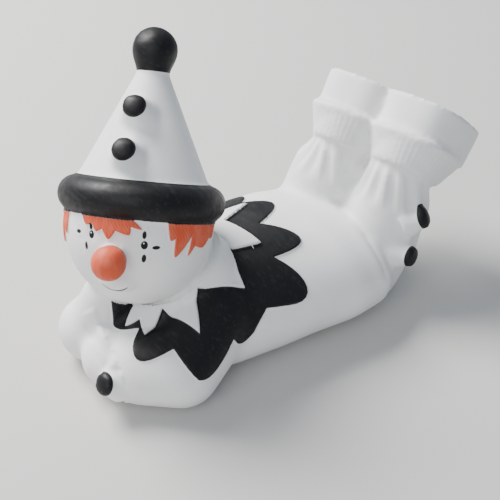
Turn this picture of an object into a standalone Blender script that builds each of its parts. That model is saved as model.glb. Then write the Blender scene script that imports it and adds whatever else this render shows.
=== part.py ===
"""A slip-cast porcelain clown that lies on its front, cheek on its arm and lower legs raised."""
import math

import bmesh
import bpy
import numpy as np
from mathutils import Matrix, Vector

MM = 0.001

# Head, with its own directions: out through the face, and up through the hat.
HEAD_CENTRE = Vector((-10.6, -39.6, 54.4)) * MM
HEAD_UP = Vector((-0.352, 0.421, 0.836)).normalized()
FACE_OUT = Vector((0.474, -0.695, 0.540))
HEAD_RADIUS = 25.0 * MM
HEAD_TALLNESS = 1.07
NOSE_RADIUS = 5.75 * MM
NOSE_SINK = 1.4 * MM
NOSE_DROP = math.radians(22)
MUZZLE_RADIUS = 7.5 * MM
MUZZLE_RISE = 1.0 * MM
MUZZLE_DROP = math.radians(43)

# Hat: a rolled brim seated on the head, a cone, and a ball on its tip.
BRIM_SEAT = 9.0 * MM
BRIM_TUBE_RADIUS = 6.3 * MM
BRIM_INSET = 1.5 * MM
HAT_CONE_HEIGHT = 36.0 * MM
HAT_TIP_RADIUS = 5.2 * MM
HAT_BALL_RADIUS = 7.7 * MM
HAT_POMPOM_SHARES = (0.22, 0.61)

# Pom-poms: a flared stalk under a domed button.
BUTTON_RADIUS = 4.1 * MM
BUTTON_HEIGHT = 5.2 * MM
BUTTON_FOOT_RADIUS = 6.8 * MM
BUTTON_DOME = 0.42

# Trunk sections from the shoulders to the knees: place along the body, middle, half width, height.
TRUNK = ((-36, 0, 18, 27), (-26, -0.5, 27.5, 35), (-8, -0.5, 32.5, 39), (8, 0, 35, 40), (22, 2, 36, 39.5),
         (36, 3, 34, 36), (45, 3, 27.5, 29), (52, 3, 18, 20))
TRUNK_SINK = 0.1

# Limbs as chains of round sections: x, y, z and radius in millimetres.
CHEST = ((0, -32, 17, 17), (-3, -46, 14, 13))
NECK = ((0, -24, 28, 15), (-6, -32, 42, 14))
LEFT_ARM = ((12, -25, 21, 14), (19, -46, 12.2, 13), (9, -56, 11.7, 12.4), (-3, -60, 10.8, 10.9))
RIGHT_ARM = ((-17, -22, 22, 14), (-19, -40, 16, 13), (-19.5, -57, 11.7, 12.4))
RIGHT_FOREARM = ((-17, -56, 16, 10.5), (-13, -53.5, 30, 8.5))
LEFT_SHIN = ((15, 44, 10, 15), (16, 50, 24, 16), (17.5, 54.5, 37, 14.2), (18, 56.5, 48, 12))
RIGHT_SHIN = ((-9.5, 42, 10, 15), (-10.3, 45, 24, 17), (-9.3, 48, 36, 15.8), (-7, 51.5, 48, 12))

# Left sleeve's end: a flared cuff whose gathers run in to a pom-pom.
CUFF_CENTRE = Vector((-4.5, -62.0, 11.5)) * MM
CUFF_OUT = Vector((-0.25, -0.95, -0.05)).normalized()
CUFF_RADIUS = 12.2 * MM
CUFF_POMPOM = (Vector((8.9, -66.7, 11.4)) * MM, Vector((-0.02, -0.87, 0.49)).normalized())
LEG_POMPOMS = ((Vector((30.5, 47.1, 23.4)) * MM, Vector((0.97, 0.20, 0.12)).normalized()),
               (Vector((30.4, 51.8, 36.0)) * MM, Vector((0.76, 0.41, 0.50)).normalized()),
               (Vector((-19.0, 54.0, 16.0)) * MM, Vector((-0.62, 0.78, 0.0)).normalized()),
               (Vector((-17.9, 58.5, 32.0)) * MM, Vector((-0.62, 0.78, 0.05)).normalized()))

# Feet: two lobes side by side, each a flared flounce with the foot standing on it.
FEET_MIDDLE = Vector((5.0, 61.5, 60.0)) * MM
FEET_YAW = math.radians(12)
FEET_TILT = math.radians(42)
FOOT_SPACING = 26.0 * MM
FOOT_SQUARENESS = 2.8
FLOUNCE_HALF_WIDTH = 16.9 * MM
FLOUNCE_HALF_LENGTH = 19.2 * MM
FLOUNCE_SHIFT = 3.0 * MM
FLOUNCE_HEIGHT = 12.5 * MM
FLOUNCE_FOOT_RADIUS = 12.2 * MM
FLOUNCE_BEAD = 2.8 * MM
SOLE_HALF_WIDTH = 15.6 * MM
SOLE_HALF_LENGTH = 20.0 * MM
SOLE_HEIGHT = 13.0 * MM
SOLE_SHIFT = 6.5 * MM
SOLE_FLARE = 1.04
SOLE_SEAT = 2.0 * MM

# Cape and ruff: outlines seen from above as valley, tip, valley, tip, round the neck. The cape's hem
# down the left side is an outline too: place along the body, and height.
CAPE = ((3.1, -52), (13.5, -60.5), (19.8, -49.6), (31.4, -46.5), (27, -29.8), (27.6, -24), (26, -14.2),
        (29.6, 1.4), (15.4, -1.9), (14.8, 11.3), (0.4, 4.4), (-6, 16.8), (-16, 9.5), (-22, 14.5), (-26, 4),
        (-31, -4), (-27, -13), (-31, -22), (-26, -28), (-30, -36), (-20, -40), (-14, -46), (-9, -46),
        (-5, -57.2))
RUFF = ((-3.1, -48.4), (8.5, -53.2), (5.2, -42.6), (21.9, -40.3), (10.6, -32.5), (18.1, -17.8), (3.7, -14.3),
        (8.8, -2.3), (-9, -4), (-11.8, 9.0), (-17, -1), (-22, 4), (-20, -9), (-27, -12), (-21, -20),
        (-27, -27), (-18, -33), (-18, -42), (-9, -42), (-3.7, -52.4))
CAPE_RAISE = 0.9 * MM
CAPE_ROUNDNESS = 1.9
RUFF_RAISE = 1.3 * MM
RUFF_ROUNDNESS = 1.15
CAPE_HEM = ((-52, 22), (-44, 16.6), (-30.1, 22.9), (-24.8, 19.4), (-14.6, 27.2), (5, 15), (30, 15), (30, 80),
            (-80, 80), (-80, 10))
CAPE_HEM_FROM = 22.0 * MM
EDGE_WIDTH = 1.3 * MM
EDGE_BAND = 0.8 * MM
COLLAR_FLOOR = 16.0 * MM

# Hair: outlines on the head as turn from the face to the clown's left, and rise, in degrees.
FRINGE = ((-31, 14), (-25.4, 1), (-18.3, 1.5), (-14.8, -3.8), (-9.5, -1.3), (-3.9, -8.6), (1.2, -1.7),
          (11.4, -4), (12.2, 2.2), (20.4, 0.8), (15, 14), (-7, 22))
LEFT_TUFT = ((38, 14), (41.8, -5), (46.2, -3.7), (48.8, -18.4), (61.1, -1.3), (60.2, -17), (66, -9),
             (76, -10.5), (84, -3), (90, -3), (98, 14), (68, 22))
RIGHT_TUFT = ((-47, 14), (-50, -9), (-55, -3), (-60, -17), (-67, -5), (-76, -12), (-98, 14), (-70, 22))
HAIR_RAISE = 0.7 * MM
HAIR_ROUNDNESS = 1.5
LOBE_STEPS = 12

# Gathers under the flounces and round the cuff: count, depth, and where along the limb they fade.
SHIN_GATHERS = 11
GATHER_DEPTH = 0.55 * MM
GATHER_FADE = 16.0 * MM
CUFF_GATHERS = 9

BODY_GRID = 1.4 * MM
BODY_SOFTNESS = 10
CAST_GRID = 0.9 * MM
CAST_SOFTNESS = 3
TRIANGLE_LIMIT = 9600
TRUNK_STEPS = 40
RING_STEPS = 72
TUBE_STEPS = 16

WORLD = (Vector((1, 0, 0)), Vector((0, 1, 0)), Vector((0, 0, 1)))


def empty_scene():
    for item in list(bpy.data.objects):
        bpy.data.objects.remove(item, do_unlink=True)


def basis(out, up):
    """Axes to the figure's right, out, and up, with up kept exactly."""
    third = up.normalized()
    first = out.cross(third).normalized()
    return first, third.cross(first), third


def placed(centre, axes, radii=(1, 1, 1)):
    """A matrix that puts a unit shape at centre, turned to the axes and scaled to the radii."""
    matrix = Matrix.Identity(4)
    for column, (axis, radius) in enumerate(zip(axes, radii)):
        for row in range(3):
            matrix[row][column] = axis[row] * radius
    matrix.translation = centre
    return matrix


def add_ball(shape, centre, radii, axes=WORLD):
    bmesh.ops.create_uvsphere(shape, u_segments=40, v_segments=24, radius=1.0,
                              matrix=placed(centre, axes, radii))


def add_cone(shape, start, end, start_radius, end_radius):
    direction = end - start
    turn = direction.to_track_quat('Z', 'Y').to_matrix().to_4x4()
    bmesh.ops.create_cone(shape, cap_ends=True, segments=48, radius1=start_radius,
                          radius2=end_radius, depth=direction.length,
                          matrix=Matrix.Translation((start + end) / 2) @ turn)


def add_limb(shape, stations):
    """A limb of round sections; each station is x, y, z and radius in millimetres."""
    points = [Vector(station[:3]) * MM for station in stations]
    radii = [station[3] * MM for station in stations]
    for point, radius in zip(points, radii):
        add_ball(shape, point, (radius, radius, radius))
    for here in range(len(points) - 1):
        add_cone(shape, points[here], points[here + 1], radii[here], radii[here + 1])


def add_trunk(shape):
    """The lying trunk and thighs: oval sections that reach a little below the table."""
    rings = []
    for along, middle, half_width, height in TRUNK:
        ring = []
        for step in range(TRUNK_STEPS):
            angle = 2 * math.pi * step / TRUNK_STEPS
            across = middle + half_width * math.cos(angle)
            rise = height * (1 - TRUNK_SINK) / 2 + height * (1 + TRUNK_SINK) / 2 * math.sin(angle)
            ring.append(shape.verts.new(Vector((across, along, rise)) * MM))
        rings.append(ring)
    for front, back in zip(rings, rings[1:]):
        for step in range(TRUNK_STEPS):
            after = (step + 1) % TRUNK_STEPS
            shape.faces.new((front[step], front[after], back[after], back[step]))
    shape.faces.new(rings[0])
    shape.faces.new(list(reversed(rings[-1])))
    bmesh.ops.recalc_face_normals(shape, faces=shape.faces)


def mesh_object(name, shape):
    mesh = bpy.data.meshes.new(name)
    shape.to_mesh(mesh)
    shape.free()
    item = bpy.data.objects.new(name, mesh)
    bpy.context.collection.objects.link(item)
    return item


def applied(item, name):
    """A new object with the item's shape after its modifiers; the item is removed."""
    graph = bpy.context.evaluated_depsgraph_get()
    mesh = bpy.data.meshes.new_from_object(item.evaluated_get(graph))
    bpy.data.objects.remove(item, do_unlink=True)
    result = bpy.data.objects.new(name, mesh)
    bpy.context.collection.objects.link(result)
    return result


def fused(item, grid, softness, name):
    """Overlapping shapes joined into one skin on a grid, with softened creases."""
    skin = item.modifiers.new("Skin", 'REMESH')
    skin.mode = 'VOXEL'
    skin.voxel_size = grid
    soften = item.modifiers.new("Soften", 'SMOOTH')
    soften.factor = 0.5
    soften.iterations = softness
    return applied(item, name)


def soft_body():
    """Trunk, arms and legs, melted together."""
    shape = bmesh.new()
    add_trunk(shape)
    for limb in (NECK, CHEST, LEFT_ARM, RIGHT_ARM, RIGHT_FOREARM, LEFT_SHIN, RIGHT_SHIN):
        add_limb(shape, limb)
    return fused(mesh_object("body", shape), BODY_GRID, BODY_SOFTNESS, "body")


def head_direction(turn, rise):
    """A direction from the head's centre: turn to the clown's left of the face, rise to the hat."""
    right, out, up = basis(FACE_OUT, HEAD_UP)
    level = out * math.cos(turn) - right * math.sin(turn)
    return level * math.cos(rise) + up * math.sin(rise)


def head_reach(rise):
    """Distance from the head's centre to its skin."""
    tall = HEAD_RADIUS * HEAD_TALLNESS
    return 1 / math.hypot(math.cos(rise) / HEAD_RADIUS, math.sin(rise) / tall)


def brim_centre():
    return HEAD_CENTRE + HEAD_UP * BRIM_SEAT


def brim_ring_radius():
    tall = HEAD_RADIUS * HEAD_TALLNESS
    return HEAD_RADIUS * math.sqrt(1 - (BRIM_SEAT / tall) ** 2) - BRIM_INSET


def add_button(shape, foot, out):
    """A pom-pom: a stalk that flares into what carries it, with a domed button on it."""
    axes = basis(out.orthogonal(), out)
    top = foot + out * BUTTON_HEIGHT
    add_cone(shape, foot - out * 1.5 * MM, top - out * 1.0 * MM, BUTTON_FOOT_RADIUS, BUTTON_RADIUS * 0.92)
    add_ball(shape, top, (BUTTON_RADIUS, BUTTON_RADIUS, BUTTON_RADIUS * BUTTON_DOME), axes)


def nose_centre():
    reach = head_reach(NOSE_DROP) + NOSE_RADIUS - NOSE_SINK
    return HEAD_CENTRE + head_direction(0, -NOSE_DROP) * reach


def muzzle_centre():
    reach = head_reach(MUZZLE_DROP) + MUZZLE_RISE - MUZZLE_RADIUS * 0.5
    return HEAD_CENTRE + head_direction(0, -MUZZLE_DROP) * reach


def add_head(shape):
    axes = basis(FACE_OUT, HEAD_UP)
    add_ball(shape, HEAD_CENTRE, (HEAD_RADIUS, HEAD_RADIUS, HEAD_RADIUS * HEAD_TALLNESS), axes)
    add_ball(shape, nose_centre(), (NOSE_RADIUS,) * 3)
    out = head_direction(0, -MUZZLE_DROP)
    add_ball(shape, muzzle_centre(), (MUZZLE_RADIUS, MUZZLE_RADIUS * 0.5, MUZZLE_RADIUS * 0.72),
             basis(out, HEAD_UP))


def add_ring(shape, matrix, ring_radius, tube_radius):
    """A round ring about the matrix's third axis."""
    loops = []
    for step in range(RING_STEPS):
        around = 2 * math.pi * step / RING_STEPS
        loop = []
        for part in range(TUBE_STEPS):
            angle = 2 * math.pi * part / TUBE_STEPS
            reach = ring_radius + tube_radius * math.cos(angle)
            rise = tube_radius * math.sin(angle)
            place = Vector((reach * math.cos(around), reach * math.sin(around), rise))
            loop.append(shape.verts.new(matrix @ place))
        loops.append(loop)
    for here, after in zip(loops, loops[1:] + loops[:1]):
        for part in range(TUBE_STEPS):
            up = (part + 1) % TUBE_STEPS
            shape.faces.new((here[part], after[part], after[up], here[up]))


def add_hat(shape):
    centre = brim_centre()
    ring = brim_ring_radius()
    add_ring(shape, placed(centre, basis(FACE_OUT, HEAD_UP)), ring, BRIM_TUBE_RADIUS)
    seat = centre + HEAD_UP * 2 * MM
    crown = centre + HEAD_UP * BRIM_TUBE_RADIUS
    slope = (ring - HAT_TIP_RADIUS) / HAT_CONE_HEIGHT
    tip = crown + HEAD_UP * HAT_CONE_HEIGHT
    add_cone(shape, seat, tip, ring + slope * (crown - seat).length, HAT_TIP_RADIUS)
    ball = tip + HEAD_UP * HAT_BALL_RADIUS * 0.95
    add_ball(shape, ball, (HAT_BALL_RADIUS,) * 3)
    add_cone(shape, tip - HEAD_UP * 0.5 * MM, ball - HEAD_UP * HAT_BALL_RADIUS * 0.4, HAT_TIP_RADIUS,
             HAT_BALL_RADIUS * 0.93)
    out = FACE_OUT.normalized()
    normal = (out + HEAD_UP * slope).normalized()
    for share in HAT_POMPOM_SHARES:
        reach = ring + (HAT_TIP_RADIUS - ring) * share
        foot = crown + HEAD_UP * HAT_CONE_HEIGHT * share + out * reach
        add_button(shape, foot, normal)


def feet_axes():
    """Directions across the two feet, to the toes, and up through the soles."""
    side = Vector((math.cos(FEET_YAW), math.sin(FEET_YAW), 0))
    back = Vector((-math.sin(FEET_YAW), math.cos(FEET_YAW), 0))
    up = back * math.sin(FEET_TILT) + Vector((0, 0, 1)) * math.cos(FEET_TILT)
    return side, side.cross(up) * -1, up


def add_oval(shape, centre, axes, levels):
    """A squarish oval stack; each level is a height, a half width and a half length."""
    loops = []
    for height, half_width, half_length in levels:
        loop = []
        for step in range(RING_STEPS):
            angle = 2 * math.pi * step / RING_STEPS
            across, along = math.cos(angle), math.sin(angle)
            reach = abs(across) ** FOOT_SQUARENESS + abs(along) ** FOOT_SQUARENESS
            reach **= -1 / FOOT_SQUARENESS
            place = centre + axes[2] * height
            place += (axes[0] * across * half_width + axes[1] * along * half_length) * reach
            loop.append(shape.verts.new(place))
        loops.append(loop)
    for here, after in zip(loops, loops[1:]):
        for step in range(RING_STEPS):
            following = (step + 1) % RING_STEPS
            shape.faces.new((here[step], here[following], after[following], after[step]))
    shape.faces.new(list(reversed(loops[0])))
    shape.faces.new(loops[-1])


def add_feet(shape):
    side, toes, up = feet_axes()
    for sign in (-1, 1):
        rim = FEET_MIDDLE + side * sign * FOOT_SPACING / 2
        width, length = FLOUNCE_HALF_WIDTH, FLOUNCE_HALF_LENGTH
        shoulder = FLOUNCE_BEAD / 3
        add_cone(shape, rim - up * FLOUNCE_HEIGHT, rim, FLOUNCE_FOOT_RADIUS, FLOUNCE_HALF_WIDTH - shoulder)
        add_oval(shape, rim + toes * FLOUNCE_SHIFT, (side, toes, up),
                 ((-FLOUNCE_HEIGHT, FLOUNCE_FOOT_RADIUS, FLOUNCE_FOOT_RADIUS),
                  (-FLOUNCE_BEAD, width - shoulder, length - shoulder), (-FLOUNCE_BEAD / 2, width, length),
                  (0, width - shoulder, length - shoulder)))
        add_oval(shape, rim + toes * SOLE_SHIFT, (side, toes, up),
                 ((-SOLE_SEAT, SOLE_HALF_WIDTH, SOLE_HALF_LENGTH),
                  (SOLE_HEIGHT, SOLE_HALF_WIDTH * SOLE_FLARE, SOLE_HALF_LENGTH * SOLE_FLARE)))


def add_cuff(shape):
    add_cone(shape, CUFF_CENTRE - CUFF_OUT * 7 * MM, CUFF_CENTRE, CUFF_RADIUS * 0.85, CUFF_RADIUS)
    add_cone(shape, CUFF_CENTRE, CUFF_CENTRE + CUFF_OUT * 2 * MM, CUFF_RADIUS, CUFF_RADIUS * 0.6)
    add_button(shape, *CUFF_POMPOM)


def add_leg_pompoms(shape):
    """Two on the outside of each trouser leg."""
    for foot, out in LEG_POMPOMS:
        add_button(shape, foot, out)


def casting():
    body = soft_body()
    shape = bmesh.new()
    shape.from_mesh(body.data)
    bpy.data.objects.remove(body, do_unlink=True)
    add_head(shape)
    add_hat(shape)
    add_feet(shape)
    add_cuff(shape)
    add_leg_pompoms(shape)
    return fused(mesh_object("cast", shape), CAST_GRID, CAST_SOFTNESS, "cast")


def lobed(corners, roundness):
    """A closed outline through valleys and tips, with lobes from pointed (1) to round (2)."""
    outline = []
    for here in range(0, len(corners), 2):
        start = np.array(corners[here])
        tip = np.array(corners[here + 1])
        end = np.array(corners[(here + 2) % len(corners)])
        for share in np.linspace(-1, 1, LOBE_STEPS, endpoint=False):
            rise = 1 - abs(share) ** roundness
            outline.append((start + end) / 2 * (1 - rise) + (end - start) / 2 * share + tip * rise)
    return np.array(outline)


def depth_inside(points, outline):
    """Distance of flat points from a closed outline, positive inside it."""
    nearest = np.full(len(points), np.inf)
    inside = np.zeros(len(points), bool)
    for start, end in zip(outline, np.roll(outline, -1, axis=0)):
        along = end - start
        offset = points - start
        share = np.clip(offset @ along / (along @ along), 0, 1)
        nearest = np.minimum(nearest, ((offset - share[:, None] * along) ** 2).sum(1))
        if along[1]:
            crossed = (start[1] > points[:, 1]) != (end[1] > points[:, 1])
            inside ^= crossed & (points[:, 0] < start[0] + offset[:, 1] * along[0] / along[1])
    return np.where(inside, 1, -1) * np.sqrt(nearest)


def stepped(depth, width):
    """0 outside, 1 inside, with a soft shoulder of the given width."""
    share = np.clip(depth / width + 0.5, 0, 1)
    return share * share * (3 - 2 * share)


def head_frame(places):
    """Places seen from the head: to the clown's left, out through the face, and up."""
    right, out, up = (np.array(axis) for axis in basis(FACE_OUT, HEAD_UP))
    local = places - np.array(HEAD_CENTRE)
    return local @ -right, local @ out, local @ up


def cloth_depths(places, normals):
    """Depth inside the cape and the ruff, below zero on the head, the hat and undersides."""
    left, out, up = head_frame(places)
    lateral = np.hypot(left, out)
    hat = (up > BRIM_SEAT - 2.6 * BRIM_TUBE_RADIUS) & (lateral < HEAD_RADIUS * 1.22)
    head = np.hypot(lateral, up) < HEAD_RADIUS * HEAD_TALLNESS + 0.5 * MM
    head |= np.linalg.norm(places - np.array(muzzle_centre()), axis=1) < MUZZLE_RADIUS + 1.0 * MM
    head |= np.linalg.norm(places - np.array(nose_centre()), axis=1) < NOSE_RADIUS + 1.0 * MM
    clear = ~hat & ~head & (normals[:, 2] > -0.25) & (places[:, 2] > COLLAR_FLOOR)
    cape = np.full(len(places), -1.0)
    ruff = np.full(len(places), -1.0)
    cape[clear] = depth_inside(places[clear][:, :2], lobed(CAPE, CAPE_ROUNDNESS) * MM)
    ruff[clear] = depth_inside(places[clear][:, :2], lobed(RUFF, RUFF_ROUNDNESS) * MM)
    low = clear & (places[:, 0] > CAPE_HEM_FROM)
    hem = depth_inside(places[low][:, 1:], lobed(CAPE_HEM, CAPE_ROUNDNESS) * MM)
    cape[low] = np.minimum(cape[low], hem)
    return cape, ruff


def hair_raise(places):
    left, out, up = head_frame(places)
    reach = np.sqrt(left ** 2 + out ** 2 + up ** 2)
    near = np.abs(reach - HEAD_RADIUS) < 3.0 * MM
    turn = np.degrees(np.arctan2(left[near], out[near]))
    rise = np.degrees(np.arcsin(up[near] / reach[near]))
    spread = np.stack((turn, rise), 1) * math.radians(1) * HEAD_RADIUS
    depth = np.full(len(spread), -1.0)
    for corners in (FRINGE, LEFT_TUFT, RIGHT_TUFT):
        outline = lobed(corners, HAIR_ROUNDNESS) * math.radians(1) * HEAD_RADIUS
        depth = np.maximum(depth, depth_inside(spread, outline))
    raised = np.zeros(len(places))
    raised[near] = HAIR_RAISE * stepped(depth, EDGE_WIDTH)
    return raised


def gather_raise(places):
    """Grooves that run up the shins into the flounces, and in to the cuff's pom-pom."""
    raised = np.zeros(len(places))
    side, toes, up = (np.array(axis) for axis in feet_axes())
    for sign, shin in ((1, LEFT_SHIN), (-1, RIGHT_SHIN)):
        rim = np.array(FEET_MIDDLE) + side * sign * FOOT_SPACING / 2
        from_rim = places - rim
        below = -(from_rim @ up) - FLOUNCE_HEIGHT
        axis = np.array(shin[2][:3]) * MM
        angle = np.arctan2(places[:, 1] - axis[1], places[:, 0] - axis[0])
        lateral = np.hypot(places[:, 0] - axis[0], places[:, 1] - axis[1])
        near = (lateral < 20 * MM) & (below > -0.5 * MM) & (below < GATHER_FADE) & (places[:, 2] > 24 * MM)
        own = (places[:, 0] - FEET_MIDDLE.x) * sign > -2.0 * MM
        fade = np.sin(np.clip(below / GATHER_FADE, 0, 1) * math.pi) ** 0.7
        raised += GATHER_DEPTH * np.cos(SHIN_GATHERS * angle) * fade * (near & own)
    foot, out = CUFF_POMPOM
    local = places - np.array(CUFF_CENTRE)
    front = local @ np.array(CUFF_OUT)
    spoke = places - np.array(foot)
    right = np.array(CUFF_OUT.cross(Vector((0, 0, 1))).normalized())
    angle = np.arctan2(spoke[:, 2], spoke @ right)
    reach = np.linalg.norm(spoke, axis=1)
    face = (front > -1.0 * MM) & (front < 3.5 * MM)
    face &= (reach > BUTTON_FOOT_RADIUS) & (reach < 2.2 * CUFF_RADIUS)
    raised += GATHER_DEPTH * np.cos(CUFF_GATHERS * angle) * face
    return raised


def carve(item):
    """Cuts cloth, hair and gathers, and keeps the cloth's edges for the thinning."""
    mesh = item.data
    places = np.empty(len(mesh.vertices) * 3)
    normals = np.empty(len(mesh.vertices) * 3)
    mesh.vertices.foreach_get('co', places)
    mesh.vertex_normals.foreach_get('vector', normals)
    places = places.reshape(-1, 3)
    normals = normals.reshape(-1, 3)
    cape, ruff = cloth_depths(places, normals)
    raised = CAPE_RAISE * stepped(cape, EDGE_WIDTH) + RUFF_RAISE * stepped(ruff, EDGE_WIDTH)
    raised += hair_raise(places) + gather_raise(places)
    places += normals * raised[:, None]
    mesh.vertices.foreach_set('co', places.ravel())
    mesh.update()
    smooth = item.vertex_groups.new(name="smooth")
    away = np.minimum(np.abs(cape), np.abs(ruff)) > EDGE_BAND
    smooth.add(np.flatnonzero(away).tolist(), 1.0, 'REPLACE')


def thinned(item, limit, name):
    """The item with about the given number of triangles, most of them at the cloth's edges."""
    spare = item.modifiers.new("Thin", 'DECIMATE')
    spare.vertex_group = "smooth"
    spare.ratio = limit / (2 * len(item.data.vertices))
    return applied(item, name)


def flat_cut(item, name):
    """The item cut off flat at the table, with the origin under the middle of it."""
    shape = bmesh.new()
    size = 4 * TRUNK[3][2] * MM * 2
    bmesh.ops.create_cube(shape, size=size, matrix=Matrix.Translation((0, 0, -size / 2)))
    table = mesh_object("table", shape)
    cut = item.modifiers.new("Table", 'BOOLEAN')
    cut.operation = 'DIFFERENCE'
    cut.solver = 'EXACT'
    cut.object = table
    figure = applied(item, name)
    bpy.data.objects.remove(table, do_unlink=True)
    corners = [figure.matrix_world @ Vector(corner) for corner in figure.bound_box]
    low, high = corners[0], corners[6]
    middle = Vector((low.x + high.x, low.y + high.y, 0)) / 2
    figure.data.transform(Matrix.Translation(-middle))
    return figure


def bisque():
    material = bpy.data.materials.new("white bisque")
    material.use_nodes = True
    surface = material.node_tree.nodes["Principled BSDF"]
    surface.inputs["Base Color"].default_value = (0.80, 0.79, 0.77, 1)
    surface.inputs["Roughness"].default_value = 0.62
    surface.inputs["Metallic"].default_value = 0.0
    return material


def main():
    empty_scene()
    cast = casting()
    carve(cast)
    figure = flat_cut(thinned(cast, TRIANGLE_LIMIT, "thinned"), "clown_figurine")
    figure.data.materials.clear()
    figure.data.materials.append(bisque())
    figure.data.shade_smooth()


main()
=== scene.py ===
import math
import bpy
import numpy as np
from mathutils import Matrix, Vector


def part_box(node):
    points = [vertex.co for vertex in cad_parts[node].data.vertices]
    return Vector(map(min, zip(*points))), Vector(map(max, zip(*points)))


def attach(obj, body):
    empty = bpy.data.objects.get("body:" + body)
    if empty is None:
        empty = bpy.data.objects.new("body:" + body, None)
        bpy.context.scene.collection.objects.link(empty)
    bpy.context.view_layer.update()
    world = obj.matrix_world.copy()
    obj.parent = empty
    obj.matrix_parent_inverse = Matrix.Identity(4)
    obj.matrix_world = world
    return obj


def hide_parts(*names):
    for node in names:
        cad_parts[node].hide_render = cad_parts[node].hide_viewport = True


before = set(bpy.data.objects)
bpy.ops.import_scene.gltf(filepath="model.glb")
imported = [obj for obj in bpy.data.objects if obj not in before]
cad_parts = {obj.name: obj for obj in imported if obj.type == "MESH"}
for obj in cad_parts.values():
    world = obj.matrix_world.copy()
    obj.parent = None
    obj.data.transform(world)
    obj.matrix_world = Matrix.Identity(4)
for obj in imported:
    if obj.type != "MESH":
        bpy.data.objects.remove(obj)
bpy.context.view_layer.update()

# Table top and studio. The figurine lies on a wide pale matt table top, which runs out of the picture
# on every side. One large soft lamp stands behind it to the left, a weaker one fills in from the front,
# and a pale room does the rest. The camera looks down from the clown's left front.
MM = 0.001
TABLE_WIDTH = 6.0
bpy.ops.object.select_all(action='DESELECT')
bpy.ops.mesh.primitive_plane_add(size=TABLE_WIDTH, location=(0, 0, 0))
table_top = bpy.context.object
table_top.name = "table_top"
table_paint = bpy.data.materials.new("pale table")
table_paint.use_nodes = True
table_surface = table_paint.node_tree.nodes["Principled BSDF"]
table_surface.inputs["Base Color"].default_value = (0.56, 0.55, 0.53, 1)
table_surface.inputs["Roughness"].default_value = 0.85
table_top.data.materials.append(table_paint)

VIEW_AZIMUTH = math.radians(50)
VIEW_ELEVATION = math.radians(38)
VIEW_DISTANCE = 400 * MM
WORKING_MIDDLE = Vector((-1.47, 9.67, 0)) * MM
VIEW_TARGET = Vector((0, 0, 30)) * MM - WORKING_MIDDLE
SENSOR = 36.0
LENS = 79.2
towards_camera = Vector((math.sin(VIEW_AZIMUTH) * math.cos(VIEW_ELEVATION),
                         -math.cos(VIEW_AZIMUTH) * math.cos(VIEW_ELEVATION),
                         math.sin(VIEW_ELEVATION)))
bpy.ops.object.camera_add(location=VIEW_TARGET + towards_camera * VIEW_DISTANCE,
                          rotation=towards_camera.to_track_quat('Z', 'Y').to_euler())
camera = bpy.context.object
camera.data.lens = LENS
camera.data.sensor_width = SENSOR
camera.data.clip_start = 10 * MM
bpy.context.scene.camera = camera

camera_right = Vector((math.cos(VIEW_AZIMUTH), math.sin(VIEW_AZIMUTH), 0))
camera_side = Vector((math.sin(VIEW_AZIMUTH), -math.cos(VIEW_AZIMUTH), 0))
LAMP_AIM = Vector((0, 0, 0.03))
LAMP_COLOUR = (1.0, 0.985, 0.965)


def add_lamp(name, right, nearer, height, size, power):
    """A square soft lamp aimed at the figurine, placed to the camera's right and nearer to it."""
    place = camera_right * right + camera_side * nearer + Vector((0, 0, height))
    aim = (place - LAMP_AIM).to_track_quat('Z', 'Y').to_euler()
    bpy.ops.object.light_add(type='AREA', location=place, rotation=aim)
    lamp = bpy.context.object
    lamp.name = name
    lamp.data.size = size
    lamp.data.energy = power
    lamp.data.color = LAMP_COLOUR


add_lamp("window_lamp", right=-0.50, nearer=-0.35, height=0.70, size=0.50, power=22.0)
add_lamp("front_lamp", right=-0.35, nearer=0.75, height=0.55, size=0.60, power=4.0)
room = bpy.data.worlds.new("pale room")
bpy.context.scene.world = room
room.use_nodes = True
room.node_tree.nodes["Background"].inputs["Color"].default_value = (0.76, 0.86, 1.0, 1)
room.node_tree.nodes["Background"].inputs["Strength"].default_value = 0.50

# Body, arms and legs. The casting's soft forms, modelled in millimetres about a point between the hips
# and the hands: an oval trunk that sinks a little into the table, and limbs of round sections.
# They are melted together on a grid, as the sculptor's clay was smoothed.
TRUNK = ((-36, 0, 18, 27), (-26, -0.5, 27.5, 35), (-8, -0.5, 32.5, 39), (8, 0, 35, 40), (22, 2, 36, 39.5),
         (36, 3, 34, 36), (45, 3, 27.5, 29), (52, 3, 18, 20))
TRUNK_SINK = 0.1
CHEST = ((0, -32, 17, 17), (-3, -46, 14, 13))
NECK = ((0, -24, 28, 15), (-6, -32, 42, 14))
LEFT_ARM = ((12, -25, 21, 14), (19, -46, 12.2, 13), (9, -56, 11.7, 12.4), (-3, -60, 10.8, 10.9))
RIGHT_ARM = ((-17, -22, 22, 14), (-19, -40, 16, 13), (-19.5, -57, 11.7, 12.4))
RIGHT_FOREARM = ((-17, -56, 16, 10.5), (-13, -53.5, 30, 8.5))
LEFT_SHIN = ((15, 44, 10, 15), (16, 50, 24, 16), (17.5, 54.5, 37, 14.2), (18, 56.5, 48, 12))
RIGHT_SHIN = ((-9.5, 42, 10, 15), (-10.3, 45, 24, 17), (-9.3, 48, 36, 15.8), (-7, 51.5, 48, 12))
BODY_GRID = 1.2 * MM
BODY_SOFTNESS = 12
shapes = []


def basis(out, up):
    """Axes to the figure's right, out, and up, with up kept exactly."""
    third = up.normalized()
    first = out.cross(third).normalized()
    return first, third.cross(first), third


def turned(axes):
    return Matrix(axes).transposed().to_euler()


def add_ball(centre, radii, axes=((1, 0, 0), (0, 1, 0), (0, 0, 1))):
    bpy.ops.mesh.primitive_uv_sphere_add(segments=48, ring_count=28, radius=1, location=centre,
                                         rotation=turned(axes))
    bpy.context.object.scale = radii
    shapes.append(bpy.context.object)


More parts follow.
